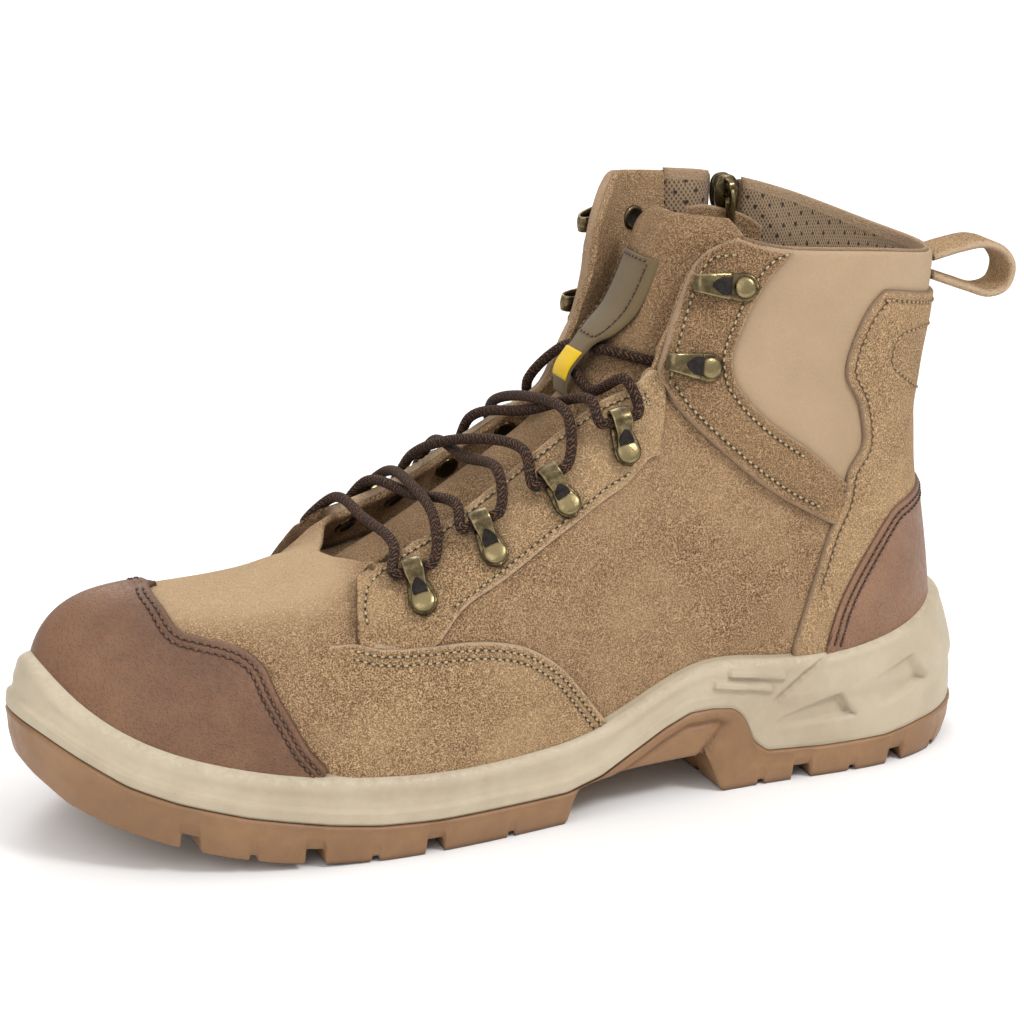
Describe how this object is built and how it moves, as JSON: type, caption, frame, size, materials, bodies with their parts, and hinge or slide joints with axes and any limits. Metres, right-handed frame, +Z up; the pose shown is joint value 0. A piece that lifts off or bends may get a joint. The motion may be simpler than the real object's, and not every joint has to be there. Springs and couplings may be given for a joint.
{
  "type": "safety shoe",
  "caption": "High-top lace-up safety shoe for the left foot: hollow suede upper with toe cap, padded collar, side zip, heel pull loop and a lugged two-layer sole.",
  "frame": {"origin": "middle of the shoe's box on the floor it stands on", "axes": "+X to the toe, +Y to the outer (left) side, +Z up"},
  "size_m": [0.3284, 0.1116, 0.1818],
  "materials": {
    "suede": "napped suede",
    "leather": "fine grain, satin",
    "midsole": "moulded foam, satin",
    "rubber": "moulded, satin",
    "cloth": "woven",
    "cord": "braided",
    "metal": "antique, satin",
    "label": "coated webbing"
  },
  "bodies": {
    "shoe": {"outsole": "rubber", "midsole": "midsole", "insole": "cloth", "upper": "suede", "tongue": "suede", "tongue_label": "label", "toe_cap": "leather", "backstay": "suede", "heel_counter": "leather", "eyestay_outer": "suede", "eyestay_inner": "suede", "facing_outer": "suede", "facing_inner": "suede", "lace_loop_outer_1": "metal", "lace_loop_outer_2": "metal", "lace_loop_outer_3": "metal", "lace_loop_outer_4": "metal", "lace_loop_inner_1": "metal", "lace_loop_inner_2": "metal", "lace_loop_inner_3": "metal", "lace_loop_inner_4": "metal", "lace_hook_outer_1": "metal", "lace_hook_outer_2": "metal", "lace_hook_inner_1": "metal", "lace_hook_inner_2": "metal", "lace": "cord", "pull_loop": "suede", "zip": "cloth", "zip_slider": "metal"},
    "pull_tab": {"zip_pull": "metal"}
  },
  "joints": [
    {"name": "pull_tab_swing", "type": "hinge", "parent": "shoe", "child": "pull_tab", "pos_m": [-0.07909, -0.02621, 0.17359], "axis": [1, 0, 0], "range_deg": [0, 150]}
  ]
}
